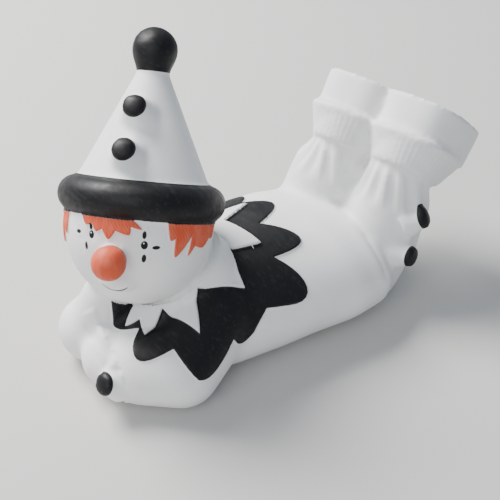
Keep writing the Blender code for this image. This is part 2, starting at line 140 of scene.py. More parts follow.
def add_cone(start, end, start_radius, end_radius):
    direction = end - start
    bpy.ops.mesh.primitive_cone_add(vertices=64, radius1=start_radius, radius2=end_radius,
                                    depth=direction.length, location=(start + end) / 2,
                                    rotation=direction.to_track_quat('Z', 'Y').to_euler())
    shapes.append(bpy.context.object)


def add_limb(stations):
    points = [Vector(station[:3]) * MM for station in stations]
    radii = [station[3] * MM for station in stations]
    for point, radius in zip(points, radii):
        add_ball(point, (radius, radius, radius))
    for here in range(len(points) - 1):
        add_cone(points[here], points[here + 1], radii[here], radii[here + 1])


def fused(grid, softness, name):
    """Joins the shapes made so far into one skin on a grid, and softens its creases."""
    bpy.ops.object.select_all(action='DESELECT')
    for item in shapes:
        item.select_set(True)
    bpy.context.view_layer.objects.active = shapes[0]
    bpy.ops.object.join()
    bpy.ops.object.transform_apply(location=True, rotation=True, scale=True)
    cast = bpy.context.object
    cast.name = name
    melt = cast.modifiers.new("Melt", 'REMESH')
    melt.mode = 'VOXEL'
    melt.voxel_size = grid
    bpy.ops.object.modifier_apply(modifier=melt.name)
    soften = cast.modifiers.new("Soften", 'SMOOTH')
    soften.factor = 0.5
    soften.iterations = softness
    bpy.ops.object.modifier_apply(modifier=soften.name)
    shapes.clear()
    shapes.append(cast)
    return cast


along, middle, half_width, height = TRUNK[0]
middle_height = height * (1 - TRUNK_SINK) / 2
bpy.ops.mesh.primitive_circle_add(vertices=64, radius=1, fill_type='NGON', rotation=(math.pi / 2, 0, 0),
                                  location=(middle * MM, along * MM, middle_height * MM))
bpy.context.object.scale = (half_width * MM, height * (1 + TRUNK_SINK) / 2 * MM, 1)
shapes.append(bpy.context.object)
bpy.ops.object.transform_apply(location=True, rotation=True, scale=True)
bpy.ops.object.mode_set(mode='EDIT')
bpy.ops.mesh.select_all(action='SELECT')
for here, after in zip(TRUNK, TRUNK[1:]):
    rise = (after[3] - here[3]) * (1 - TRUNK_SINK) / 2
    step = Vector((after[1] - here[1], after[0] - here[0], rise)) * MM
    bpy.ops.mesh.extrude_region_move(TRANSFORM_OT_translate={"value": step})
    centre = Vector((after[1], after[0], after[3] * (1 - TRUNK_SINK) / 2)) * MM
    bpy.ops.transform.resize(value=(after[2] / here[2], 1, after[3] / here[3]), center_override=centre)
bpy.ops.mesh.select_all(action='SELECT')
bpy.ops.mesh.normals_make_consistent(inside=False)
bpy.ops.object.mode_set(mode='OBJECT')
for limb in (NECK, CHEST, LEFT_ARM, RIGHT_ARM, RIGHT_FOREARM, LEFT_SHIN, RIGHT_SHIN):
    add_limb(limb)
fused(BODY_GRID, BODY_SOFTNESS, "body")

# Head. A ball a little taller than wide, that rests its cheek on the right hand, with a round nose
# stuck on and a low oval muzzle under it.
HEAD_CENTRE = Vector((-10.6, -39.6, 54.4)) * MM
HEAD_UP = Vector((-0.352, 0.421, 0.836)).normalized()
FACE_OUT = Vector((0.474, -0.695, 0.540))
HEAD_RADIUS = 25.0 * MM
HEAD_TALLNESS = 1.07
NOSE_RADIUS = 5.75 * MM
NOSE_SINK = 1.4 * MM
NOSE_DROP = math.radians(22)
MUZZLE_RADIUS = 7.5 * MM
MUZZLE_RISE = 1.0 * MM
MUZZLE_DROP = math.radians(43)
MUZZLE_THICKNESS = MUZZLE_RADIUS * 0.5
MUZZLE_HEIGHT = MUZZLE_RADIUS * 0.72
head_axes = basis(FACE_OUT, HEAD_UP)


def head_direction(turn, rise):
    """A direction from the head's centre: turn to the clown's left of the face, rise to the hat."""
    level = head_axes[1] * math.cos(turn) - head_axes[0] * math.sin(turn)
    return level * math.cos(rise) + HEAD_UP * math.sin(rise)


def head_reach(rise):
    """Distance from the head's centre to its skin."""
    tall = HEAD_RADIUS * HEAD_TALLNESS
    return 1 / math.hypot(math.cos(rise) / HEAD_RADIUS, math.sin(rise) / tall)


add_ball(HEAD_CENTRE, (HEAD_RADIUS, HEAD_RADIUS, HEAD_RADIUS * HEAD_TALLNESS), head_axes)
nose_centre = HEAD_CENTRE + head_direction(0, -NOSE_DROP) * (head_reach(NOSE_DROP) + NOSE_RADIUS - NOSE_SINK)
add_ball(nose_centre, (NOSE_RADIUS, NOSE_RADIUS, NOSE_RADIUS))
muzzle_out = head_direction(0, -MUZZLE_DROP)
muzzle_centre = HEAD_CENTRE + muzzle_out * (head_reach(MUZZLE_DROP) + MUZZLE_RISE - MUZZLE_THICKNESS)
add_ball(muzzle_centre, (MUZZLE_RADIUS, MUZZLE_THICKNESS, MUZZLE_HEIGHT), basis(muzzle_out, HEAD_UP))

# Hat. A fat rolled brim is pressed down over the hair, and a straight cone stands in it, with a ball on
# its cut-off tip. All of it turns about the head's own upright line.
BRIM_SEAT = 9.0 * MM
BRIM_TUBE_RADIUS = 6.3 * MM
BRIM_INSET = 1.5 * MM
HAT_CONE_HEIGHT = 36.0 * MM
HAT_CONE_SEAT = 2.0 * MM
HAT_TIP_RADIUS = 5.2 * MM
HAT_BALL_RADIUS = 7.7 * MM
HAT_BALL_LIFT = 0.95
HAT_NECK_RISE = 0.4
HAT_NECK_WIDTH = 0.93
HAT_NECK_SEAT = 0.5 * MM
brim_centre = HEAD_CENTRE + HEAD_UP * BRIM_SEAT
brim_ring = HEAD_RADIUS * math.sqrt(1 - (BRIM_SEAT / (HEAD_RADIUS * HEAD_TALLNESS)) ** 2) - BRIM_INSET
bpy.ops.mesh.primitive_torus_add(major_segments=128, minor_segments=32, major_radius=brim_ring,
                                 minor_radius=BRIM_TUBE_RADIUS, location=brim_centre,
                                 rotation=turned(head_axes))
shapes.append(bpy.context.object)
crown = brim_centre + HEAD_UP * BRIM_TUBE_RADIUS
hat_slope = (brim_ring - HAT_TIP_RADIUS) / HAT_CONE_HEIGHT
hat_seat = brim_centre + HEAD_UP * HAT_CONE_SEAT
hat_tip = crown + HEAD_UP * HAT_CONE_HEIGHT
add_cone(hat_seat, hat_tip, brim_ring + hat_slope * (crown - hat_seat).length, HAT_TIP_RADIUS)
hat_ball = hat_tip + HEAD_UP * HAT_BALL_RADIUS * HAT_BALL_LIFT
add_ball(hat_ball, (HAT_BALL_RADIUS, HAT_BALL_RADIUS, HAT_BALL_RADIUS))
add_cone(hat_tip - HEAD_UP * HAT_NECK_SEAT, hat_ball - HEAD_UP * HAT_BALL_RADIUS * HAT_NECK_RISE,
         HAT_TIP_RADIUS, HAT_BALL_RADIUS * HAT_NECK_WIDTH)

# Pom-poms: two on the hat, one on the left cuff and two on each trouser leg. Each is a stalk that
# flares into what carries it, with a flat domed button painted black.
BUTTON_RADIUS = 4.1 * MM
BUTTON_HEIGHT = 5.2 * MM
BUTTON_FOOT_RADIUS = 6.8 * MM
BUTTON_DOME = 0.42
STALK_ROOT = 1.5 * MM
STALK_TOP = 1.0 * MM
STALK_WIDTH = 0.92
CUFF_POMPOM = (Vector((8.9, -66.7, 11.4)) * MM, Vector((-0.02, -0.87, 0.49)).normalized())
LEG_POMPOMS = ((Vector((30.5, 47.1, 23.4)) * MM, Vector((0.97, 0.20, 0.12)).normalized()),
               (Vector((30.4, 51.8, 36.0)) * MM, Vector((0.76, 0.41, 0.50)).normalized()),
               (Vector((-19.0, 54.0, 16.0)) * MM, Vector((-0.62, 0.78, 0.0)).normalized()),
               (Vector((-17.9, 58.5, 32.0)) * MM, Vector((-0.62, 0.78, 0.05)).normalized()))
HAT_POMPOM_SHARES = (0.22, 0.61)
pompoms = [CUFF_POMPOM]
hat_out = (FACE_OUT.normalized() + HEAD_UP * hat_slope).normalized()
for share in HAT_POMPOM_SHARES:
    reach = brim_ring + (HAT_TIP_RADIUS - brim_ring) * share
    pompoms.append((crown + HEAD_UP * HAT_CONE_HEIGHT * share + FACE_OUT.normalized() * reach, hat_out))
pompoms.extend(LEG_POMPOMS)
for foot, out in pompoms:
    top = foot + out * BUTTON_HEIGHT
    add_cone(foot - out * STALK_ROOT, top - out * STALK_TOP, BUTTON_FOOT_RADIUS, BUTTON_RADIUS * STALK_WIDTH)
    add_ball(top, (BUTTON_RADIUS, BUTTON_RADIUS, BUTTON_RADIUS * BUTTON_DOME), basis(out.orthogonal(), out))

# Trouser flounces, feet and the left cuff. Each leg ends in a flared skirt with a beaded rim, and the
# foot stands on it as a thick sole. The cuff is a shallow flare round the end of the left sleeve.
FEET_MIDDLE = Vector((5.0, 61.5, 60.0)) * MM
FEET_YAW = math.radians(12)
FEET_TILT = math.radians(42)
FOOT_SPACING = 26.0 * MM
FOOT_SQUARENESS = 2.8
FLOUNCE_HALF_WIDTH = 16.9 * MM
FLOUNCE_HALF_LENGTH = 19.2 * MM
FLOUNCE_SHIFT = 3.0 * MM
FLOUNCE_HEIGHT = 12.5 * MM
FLOUNCE_FOOT_RADIUS = 12.2 * MM
FLOUNCE_BEAD = 2.8 * MM
SOLE_HALF_WIDTH = 15.6 * MM
SOLE_HALF_LENGTH = 20.0 * MM
SOLE_HEIGHT = 13.0 * MM
SOLE_SHIFT = 6.5 * MM
SOLE_FLARE = 1.04
SOLE_SEAT = 2.0 * MM
CUFF_CENTRE = Vector((-4.5, -62.0, 11.5)) * MM
CUFF_OUT = Vector((-0.25, -0.95, -0.05)).normalized()
CUFF_RADIUS = 12.2 * MM
CUFF_LENGTH = 7.0 * MM
CUFF_LIP = 2.0 * MM
CUFF_WRIST = 0.85
CUFF_MOUTH = 0.6
across_feet = Vector((math.cos(FEET_YAW), math.sin(FEET_YAW), 0))
back_of_feet = Vector((-math.sin(FEET_YAW), math.cos(FEET_YAW), 0))
through_soles = back_of_feet * math.sin(FEET_TILT) + Vector((0, 0, 1)) * math.cos(FEET_TILT)
to_toes = through_soles.cross(across_feet)
feet_axes = (across_feet, to_toes, through_soles)


def add_oval(centre, axes, levels):
    """A squarish oval stack; each level is a height, a half width and a half length."""
    bpy.ops.mesh.primitive_circle_add(vertices=96, radius=1, fill_type='NGON')
    oval = bpy.context.object
    for vertex in oval.data.vertices:
        reach = abs(vertex.co.x) ** FOOT_SQUARENESS + abs(vertex.co.y) ** FOOT_SQUARENESS
        vertex.co *= reach ** (-1 / FOOT_SQUARENESS)
    height, half_width, half_length = levels[0]
    oval.scale = (half_width, half_length, 1)
    oval.location = (0, 0, height)
    bpy.ops.object.transform_apply(location=True, rotation=True, scale=True)
    bpy.ops.object.mode_set(mode='EDIT')
    bpy.ops.mesh.select_all(action='SELECT')
    for here, after in zip(levels, levels[1:]):
        bpy.ops.mesh.extrude_region_move(TRANSFORM_OT_translate={"value": (0, 0, after[0] - here[0])})
        bpy.ops.transform.resize(value=(after[1] / here[1], after[2] / here[2], 1),
                                 center_override=(0, 0, after[0]))
    bpy.ops.mesh.select_all(action='SELECT')
    bpy.ops.mesh.normals_make_consistent(inside=False)
    bpy.ops.object.mode_set(mode='OBJECT')
    oval.location = centre
    oval.rotation_euler = turned(axes)
    shapes.append(oval)


shoulder = FLOUNCE_BEAD / 3
for sign in (-1, 1):
    rim = FEET_MIDDLE + across_feet * sign * FOOT_SPACING / 2
    add_cone(rim - through_soles * FLOUNCE_HEIGHT, rim, FLOUNCE_FOOT_RADIUS, FLOUNCE_HALF_WIDTH - shoulder)
    add_oval(rim + to_toes * FLOUNCE_SHIFT, feet_axes,
             ((-FLOUNCE_HEIGHT, FLOUNCE_FOOT_RADIUS, FLOUNCE_FOOT_RADIUS),
              (-FLOUNCE_BEAD, FLOUNCE_HALF_WIDTH - shoulder, FLOUNCE_HALF_LENGTH - shoulder),
              (-FLOUNCE_BEAD / 2, FLOUNCE_HALF_WIDTH, FLOUNCE_HALF_LENGTH),
              (0, FLOUNCE_HALF_WIDTH - shoulder, FLOUNCE_HALF_LENGTH - shoulder)))
    add_oval(rim + to_toes * SOLE_SHIFT, feet_axes,
             ((-SOLE_SEAT, SOLE_HALF_WIDTH, SOLE_HALF_LENGTH),
              (SOLE_HEIGHT, SOLE_HALF_WIDTH * SOLE_FLARE, SOLE_HALF_LENGTH * SOLE_FLARE)))
add_cone(CUFF_CENTRE - CUFF_OUT * CUFF_LENGTH, CUFF_CENTRE, CUFF_RADIUS * CUFF_WRIST, CUFF_RADIUS)
add_cone(CUFF_CENTRE, CUFF_CENTRE + CUFF_OUT * CUFF_LIP, CUFF_RADIUS, CUFF_RADIUS * CUFF_MOUTH)

# The casting. All of it comes out of one mould, so the shapes become one skin of bisque porcelain. It is
# cut off flat where the figurine lies, and made of triangles, which are halved later where it is painted.
CAST_GRID = 1.0 * MM
CAST_SOFTNESS = 4
CUT_TOLERANCE = 0.02 * MM
figure = fused(CAST_GRID, CAST_SOFTNESS, "clown_figurine_cast")
bpy.ops.object.mode_set(mode='EDIT')
bpy.ops.mesh.select_all(action='SELECT')
bpy.ops.mesh.bisect(plane_co=(0, 0, 0), plane_no=(0, 0, 1), use_fill=True, clear_inner=True,
                    threshold=CUT_TOLERANCE)
bpy.ops.mesh.select_all(action='SELECT')
bpy.ops.mesh.quads_convert_to_tris()
bpy.ops.object.mode_set(mode='OBJECT')

# Cape, ruff and hair. The cape and the ruff lie on the shoulders as two thin layers with scalloped and
# pointed edges, and the hair lies on the head in flat locks. Their outlines run through valleys and
# tips by turns: the cloth seen from above in millimetres, the hair by turn and rise on the head.
CAPE = ((3.1, -52), (13.5, -60.5), (19.8, -49.6), (31.4, -46.5), (27, -29.8), (27.6, -24), (26, -14.2),
        (29.6, 1.4), (15.4, -1.9), (14.8, 11.3), (0.4, 4.4), (-6, 16.8), (-16, 9.5), (-22, 14.5), (-26, 4),
        (-31, -4), (-27, -13), (-31, -22), (-26, -28), (-30, -36), (-20, -40), (-14, -46), (-9, -46),
        (-5, -57.2))
RUFF = ((1.5, -50.0), (8.5, -53.2), (5.2, -42.6), (21.9, -40.3), (10.6, -32.5), (18.1, -17.8), (3.7, -14.3),
        (8.8, -2.3), (-9, -4), (-11.8, 9.0), (-15.5, -1), (-20.5, 3), (-18.5, -8.5), (-24.5, -11.5),
        (-19.5, -19), (-24, -26), (-17, -33), (-18, -42), (-9, -42), (-0.5, -54.5))
CAPE_RAISE = 0.9 * MM
CAPE_ROUNDNESS = 1.9
RUFF_RAISE = 1.3 * MM
RUFF_ROUNDNESS = 1.15
CAPE_HEM = ((-52, 22), (-44, 16.6), (-30.1, 22.9), (-24.8, 19.4), (-14.6, 27.2), (5, 15), (30, 15), (30, 80),
            (-80, 80), (-80, 10))
CAPE_HEM_FROM = 22.0 * MM
EDGE_WIDTH = 0.7 * MM
COLLAR_FLOOR = 16.0 * MM
CLOTH_GAP = 0.4 * MM
CLOTH_OVERHANG = 0.25
CLOTH_OVERHANG_FADE = 10.0 * MM
FRINGE = ((-31, 14), (-25.4, 1), (-18.3, 1.5), (-14.8, -3.8), (-9.5, -1.3), (-3.9, -8.6), (1.2, -1.7),
          (11.4, -4), (12.2, 2.2), (20.4, 0.8), (14.6, 6.6), (-7, 24))
LEFT_TUFT = ((38, 14), (41.8, -5), (46.2, -3.7), (48.8, -18.4), (61.1, -1.3), (60.2, -17), (66, -9),
             (76, -10.5), (84, -3), (90, -3), (98, 14), (68, 22))
RIGHT_TUFT = ((-47, 14), (-50, -9), (-55, -3), (-60, -17), (-67, -5), (-76, -12), (-98, 14), (-70, 22))
HAIR_RAISE = 0.7 * MM
HAIR_ROUNDNESS = 1.5
HAIR_BRIM_GAP = 0.2 * MM
HAIR_LAYER = 3.0 * MM
FAR = 1.0
LOBE_STEPS = 12
LINE_BANDS = (0.6 * MM, 0.1 * MM)
FACE_BANDS = (0.9 * MM, 0.5 * MM, 0.2 * MM)


def lobed(corners, roundness):
    """A closed outline through valleys and tips, with lobes from pointed (1) to round (2)."""
    outline = []
    for here in range(0, len(corners), 2):
        start = np.array(corners[here])
        tip = np.array(corners[here + 1])
        end = np.array(corners[(here + 2) % len(corners)])
        for share in np.linspace(-1, 1, LOBE_STEPS, endpoint=False):
            rise = 1 - abs(share) ** roundness
            outline.append((start + end) / 2 * (1 - rise) + (end - start) / 2 * share + tip * rise)
    return np.array(outline)


def depth_inside(points, outline):
    """Distance of flat points from a closed outline, positive inside it."""
    nearest = np.full(len(points), np.inf)
    inside = np.zeros(len(points), bool)
    for start, end in zip(outline, np.roll(outline, -1, axis=0)):
        run = end - start
        offset = points - start
        share = np.clip(offset @ run / (run @ run), 0, 1)
        nearest = np.minimum(nearest, ((offset - share[:, None] * run) ** 2).sum(1))
        if run[1]:
            crossed = (start[1] > points[:, 1]) != (end[1] > points[:, 1])
            inside ^= crossed & (points[:, 0] < start[0] + offset[:, 1] * run[0] / run[1])
    return np.where(inside, 1, -1) * np.sqrt(nearest)


def stepped(depth, width):
    """0 outside, 1 inside, with a soft shoulder of the given width."""
    share = np.clip(depth / width + 0.5, 0, 1)
    return share * share * (3 - 2 * share)


def skin():
    """Places and outward directions of all points of the skin."""
    mesh = figure.data
    places = np.empty(len(mesh.vertices) * 3, np.float32)
    mesh.vertices.foreach_get('co', places)
    places = places.reshape(-1, 3).astype(float)
    mesh.calc_loop_triangles()
    corners = np.empty(len(mesh.loop_triangles) * 3, np.int32)
    mesh.loop_triangles.foreach_get('vertices', corners)
    corners = corners.reshape(-1, 3)
    first, second, third = (places[corners[:, column]] for column in range(3))
    facing = np.cross(second - first, third - first)
    normals = np.zeros_like(places)
    for column in range(3):
        np.add.at(normals, corners[:, column], facing)
    return places, normals / np.maximum(np.linalg.norm(normals, axis=1), 1e-15)[:, None]


def head_frame(places):
    """Places seen from the head: to the clown's left, out through the face, and up."""
    local = places - np.array(HEAD_CENTRE)
    return local @ -np.array(head_axes[0]), local @ np.array(head_axes[1]), local @ np.array(head_axes[2])


def off_brim(places):
    """Distance from the hat's rolled brim."""
    left, out, up = head_frame(places)
    return np.hypot(np.hypot(left, out) - brim_ring, up - BRIM_SEAT) - BRIM_TUBE_RADIUS


def cloth_depths(places, normals):
    """Depth inside the cape, the ruff, and the part of the cape that shows, on the body alone."""
    left, out, up = head_frame(places)
    limit = np.hypot(np.hypot(left, out), up) - HEAD_RADIUS * HEAD_TALLNESS
    for ball, radius in ((muzzle_centre, MUZZLE_RADIUS), (nose_centre, NOSE_RADIUS)):
        limit = np.minimum(limit, np.linalg.norm(places - np.array(ball), axis=1) - radius)
    limit = np.minimum(limit, off_brim(places)) - CLOTH_GAP
    on_hat = (up > BRIM_SEAT) & (np.hypot(left, out) < 2 * HEAD_RADIUS)
    limit = np.minimum(limit, np.where(on_hat, -FAR, FAR))
    limit = np.minimum(limit, places[:, 2] - COLLAR_FLOOR)
    limit = np.minimum(limit, (normals[:, 2] + CLOTH_OVERHANG) * CLOTH_OVERHANG_FADE)
    cape = depth_inside(places[:, :2], lobed(CAPE, CAPE_ROUNDNESS) * MM)
    ruff = depth_inside(places[:, :2], lobed(RUFF, RUFF_ROUNDNESS) * MM)
    hem = depth_inside(places[:, 1:], lobed(CAPE_HEM, CAPE_ROUNDNESS) * MM)
    cape = np.where(places[:, 0] > CAPE_HEM_FROM, np.minimum(cape, hem), cape)
    return np.minimum(cape, limit), np.minimum(ruff, limit), np.minimum(np.minimum(cape, -ruff), limit)


def hair_depth(places):
    left, out, up = head_frame(places)
    reach = np.sqrt(left ** 2 + out ** 2 + up ** 2)
    to_skin = math.radians(1) * HEAD_RADIUS
    spread = np.stack((np.degrees(np.arctan2(left, out)), np.degrees(np.arcsin(up / reach))), 1) * to_skin
    depth = np.full(len(places), -FAR)
    for corners in (FRINGE, LEFT_TUFT, RIGHT_TUFT):
        depth = np.maximum(depth, depth_inside(spread, lobed(corners, HAIR_ROUNDNESS) * to_skin))
    depth = np.minimum(depth, off_brim(places) - HAIR_BRIM_GAP)
    return np.minimum(depth, HAIR_LAYER - np.abs(reach - HEAD_RADIUS))


def finer(near):
    """Halves the edges of all triangles round the marked points."""
    mesh = figure.data
    bpy.ops.object.mode_set(mode='EDIT')
    bpy.ops.mesh.select_all(action='DESELECT')
    bpy.ops.mesh.select_mode(type='VERT')
    bpy.ops.object.mode_set(mode='OBJECT')
    corners = np.empty(len(mesh.polygons) * 3, np.int32)
    mesh.polygons.foreach_get('vertices', corners)
    corners = corners.reshape(-1, 3)
    chosen = np.zeros(len(mesh.vertices), bool)
    chosen[corners[near[corners].any(1)].ravel()] = True
    mesh.vertices.foreach_set('select', chosen)
    bpy.ops.object.mode_set(mode='EDIT')
    bpy.ops.mesh.select_mode(type='VERT')
    bpy.ops.mesh.subdivide(number_cuts=1)
    bpy.ops.mesh.select_all(action='SELECT')
    bpy.ops.mesh.quads_convert_to_tris(quad_method='SHORTEST_DIAGONAL', ngon_method='BEAUTY')
    bpy.ops.object.mode_set(mode='OBJECT')


def cloth_and_hair_distance(places, normals):
    """Distance to the nearest edge of cape or ruff, and zero inside the hair."""
    cape, ruff = cloth_depths(places, normals)[:2]
    return np.minimum(np.minimum(np.abs(cape), np.abs(ruff)), np.maximum(-hair_depth(places), 0))


# Face. Two oval eyes in shallow dimples, three small marks round each, and a thin smile on the muzzle.
# Each mark has its turn and rise on the head in degrees, its width and height in millimetres, and its
# lean. The glint in each eye is a bare spot in the black, with its place and width in millimetres.
FACE_MARKS = ((23.3, -10.5, 2.3, 2.8, 0), (22.6, -2.9, 1.4, 2.6, 0), (24.0, -20.6, 1.5, 2.8, 0),
              (32.3, -11.6, 2.6, 1.3, 8), (-19.2, -6.8, 2.1, 2.7, 0), (-19.7, -0.9, 1.2, 2.2, 0),
              (-24.3, -15.8, 1.3, 2.7, 0), (-32.4, -5.9, 2.3, 1.4, 0))
EYES = (FACE_MARKS[0], FACE_MARKS[4])
EYE_GLINT = (-0.25, 0.55, 0.5)
MARK_LAYER = 3.0 * MM
SMILE_LAYER = 5.0 * MM
DIMPLE_RADIUS = 2.3 * MM
DIMPLE_DEPTH = 0.35 * MM
SMILE = ((-15.8, -43.8), (-0.6, -48.8), (13.0, -44.6))
SMILE_WIDTH = 0.78 * MM


def on_face(places, turn, rise):
    """Places seen straight on at one spot of the face: across to the clown's left, and up."""
    turn, rise = math.radians(turn), math.radians(rise)
    spot = head_direction(turn, rise)
    across = (head_direction(turn + 0.01, 0) - head_direction(turn - 0.01, 0)).normalized()
    upward = spot.cross(across)
    local = places - np.array(HEAD_CENTRE + spot * head_reach(rise))
    return local @ np.array(across), local @ np.array(upward), local @ np.array(spot)


def mark_depth(places, mark):
    turn, rise, width, height, lean = mark
    across, upward, off = on_face(places, turn, rise)
    lean = math.radians(lean)
    across, upward = (across * math.cos(lean) + upward * math.sin(lean),
                      upward * math.cos(lean) - across * math.sin(lean))
    reach = np.hypot(across / (width / 2 * MM), upward / (height / 2 * MM))
    return np.where(np.abs(off) < MARK_LAYER, (1 - reach) * min(width, height) / 2 * MM, -FAR)


def smile_depth(places):
    middle_turn, middle_rise = SMILE[1]
    across, upward, off = on_face(places, middle_turn, middle_rise)
    ends = np.array([head_direction(math.radians(turn), math.radians(rise)) for turn, rise in SMILE])
    ends = np.array(HEAD_CENTRE) + ends * head_reach(math.radians(middle_rise))
    bend_across, bend_up, _ = on_face(ends, middle_turn, middle_rise)
    line = np.polyfit(bend_across, bend_up, 2)
    share = (across - bend_across.mean()) / (np.ptp(bend_across) / 2)
    thickness = SMILE_WIDTH / 2 * np.sqrt(np.clip(1 - share ** 2, 0, 1))
    slope = np.polyval(np.polyder(line), across)
    depth = thickness - np.abs(upward - np.polyval(line, across)) / np.hypot(1, slope)
    return np.where((np.abs(off) < SMILE_LAYER) & (np.abs(share) < 1.05), depth, -FAR)


def face_depth(places):
    depth = smile_depth(places)
    for mark in FACE_MARKS:
        depth = np.maximum(depth, mark_depth(places, mark))
    glint_across, glint_up, glint_width = EYE_GLINT
    for eye in EYES:
        across, upward, off = on_face(places, *eye[:2])
        glint = np.hypot(across - glint_across * MM, upward - glint_up * MM) - glint_width / 2 * MM
        depth = np.where(off > -MARK_LAYER, np.minimum(depth, glint), depth)
    return depth


# Carving. The skin is made fine along the painter's lines, then cloth, hair, dimples and gathers are
# raised or sunk in it: folds run up the shins into the flounces, and in to the cuff's pom-pom.
SHIN_GATHERS = 11
GATHER_DEPTH = 0.55 * MM
GATHER_FADE = 16.0 * MM
GATHER_REACH = 20.0 * MM
GATHER_FLOOR = 24.0 * MM
CUFF_GATHERS = 9
CREASE_COUNT = 31
CREASE_DEPTH = 0.22 * MM
CREASE_TURN = 1.0
LEGS_OVERLAP = 2.0 * MM
THIGH_CREASE = ((4.2, 39.7, 36.4), (11.6, 38.8, 35.4), (18.7, 37.2, 34.2), (24.1, 36.2, 31.8), (29, 35.7, 29),
                (33, 35.6, 25.4), (35.5, 35.5, 21.8))
THIGH_CREASE_DEPTH = 0.55 * MM
THIGH_CREASE_WIDTH = 1.2 * MM
PLEAT_COUNT = 52
PLEAT_DEPTH = 0.13 * MM
PLEAT_FADE = 1.5 * MM
CUFF_FACE_FROM = -1.0 * MM
CUFF_FACE_TO = 3.5 * MM
CUFF_GATHER_REACH = 2.2
STRAND_PITCH = 1.15 * MM
STRAND_DEPTH = 0.16 * MM
STRAND_LEAN = 0.35
STRAND_WAVE = 0.5 * MM
CARVING_FLOOR = 1.4 * MM
CARVING_FADE = 2.0 * MM


def gathers(places):
    """Folds under the flounces, fine pleats on them, and folds round the cuff's pom-pom."""
    raised = np.zeros(len(places))
    side, toes, up = (np.array(axis) for axis in feet_axes)
    for sign, shin in ((1, LEFT_SHIN), (-1, RIGHT_SHIN)):
        from_rim = places - (np.array(FEET_MIDDLE) + side * sign * FOOT_SPACING / 2)
        below = -(from_rim @ up) - FLOUNCE_HEIGHT
        axis = np.array(shin[2][:3]) * MM
        angle = np.arctan2(places[:, 1] - axis[1], places[:, 0] - axis[0])
        lateral = np.hypot(places[:, 0] - axis[0], places[:, 1] - axis[1])
        near = (lateral < GATHER_REACH) & (below > 0) & (below < GATHER_FADE) & (places[:, 2] > GATHER_FLOOR)
        own = (places[:, 0] - FEET_MIDDLE.x) * sign > -LEGS_OVERLAP
        fade = np.sin(np.clip(below / GATHER_FADE, 0, 1) * math.pi) ** 0.7
        raised += GATHER_DEPTH * np.cos(SHIN_GATHERS * angle) * fade * (near & own)
        crease = np.abs(np.sin(CREASE_COUNT / 2 * angle + CREASE_TURN)) ** 3
        raised -= CREASE_DEPTH * crease * fade * (near & own)
        around = np.arctan2(from_rim @ toes - FLOUNCE_SHIFT, from_rim @ side)
        on_wall = stepped(below + FLOUNCE_HEIGHT - FLOUNCE_BEAD, PLEAT_FADE) * (below < 0)
        raised += PLEAT_DEPTH * np.cos(PLEAT_COUNT * around) * on_wall * own
    foot = CUFF_POMPOM[0]
    front = (places - np.array(CUFF_CENTRE)) @ np.array(CUFF_OUT)
    spoke = places - np.array(foot)
    right = np.array(CUFF_OUT.cross(Vector((0, 0, 1))).normalized())
    angle = np.arctan2(spoke[:, 2], spoke @ right)
    reach = np.linalg.norm(spoke, axis=1)
    face = (front > CUFF_FACE_FROM) & (front < CUFF_FACE_TO)
    face &= (reach > BUTTON_FOOT_RADIUS) & (reach < CUFF_GATHER_REACH * CUFF_RADIUS)
    return raised + GATHER_DEPTH * np.cos(CUFF_GATHERS * angle) * face


def thigh_crease(places):
    """The fold where the raised shins leave the thighs, with a soft roll above it."""
    line = np.array(THIGH_CREASE) * MM
    nearest = np.full(len(places), np.inf)
    for start, end in zip(line, line[1:]):
        run = end - start
        share = np.clip((places - start) @ run / (run @ run), 0, 1)
        nearest = np.minimum(nearest, np.linalg.norm(places - start - share[:, None] * run, axis=1))
    roll = np.exp(-((nearest - 3 * THIGH_CREASE_WIDTH) / THIGH_CREASE_WIDTH / 1.4) ** 2)
    return THIGH_CREASE_DEPTH * (0.35 * roll - np.exp(-(nearest / THIGH_CREASE_WIDTH) ** 2))


for band in LINE_BANDS:
    finer(cloth_and_hair_distance(*skin()) < band)
for band in FACE_BANDS:
    finer(np.abs(face_depth(skin()[0])) < band)

places, normals = skin()
cape, ruff, cape_shown = cloth_depths(places, normals)
hair = hair_depth(places)
raised = CAPE_RAISE * stepped(cape, EDGE_WIDTH) + RUFF_RAISE * stepped(ruff, EDGE_WIDTH)
left, out, up = head_frame(places)
strand = np.arctan2(left, out) * HEAD_RADIUS + STRAND_LEAN * up + STRAND_WAVE * np.sin(up / MM)
strand = np.abs(np.sin(math.pi * strand / STRAND_PITCH)) ** 2
raised += (HAIR_RAISE - STRAND_DEPTH * strand) * stepped(hair, EDGE_WIDTH)
for eye in EYES:
    across, upward, off = on_face(places, *eye[:2])
    sunk = np.exp(-(across ** 2 + upward ** 2) / DIMPLE_RADIUS ** 2) * (np.abs(off) < MARK_LAYER)
    raised -= DIMPLE_DEPTH * sunk
raised += gathers(places) + thigh_crease(places)
raised *= stepped(places[:, 2] - CARVING_FLOOR, CARVING_FADE)
carved = places + normals * raised[:, None]
carved[:, 2] = np.maximum(carved[:, 2], 0)
figure.data.vertices.foreach_set('co', carved.astype(np.float32).ravel())
figure.data.update()

# Painted finish. The bisque is left white and unglazed. The painter's black goes on the cape, brim, ball
# and buttons, the orange on the hair and nose. Each colour's reach is kept as a depth in millimetres.
BRIM_SPREAD = 0.35 * MM
BALL_REACH = 12.0 * MM
CAP_SPREAD = 1.0 * MM
CAP_LAYER = 3.0 * MM
CAP_START = 0.8 * MM
NOSE_SPREAD = 0.3 * MM
ORANGE_BRIM_GAP = 0.3 * MM


def keep(name, values):
    layer = figure.data.attributes.new(name, 'FLOAT', 'POINT')
    layer.data.foreach_set('value', values.astype(np.float32))


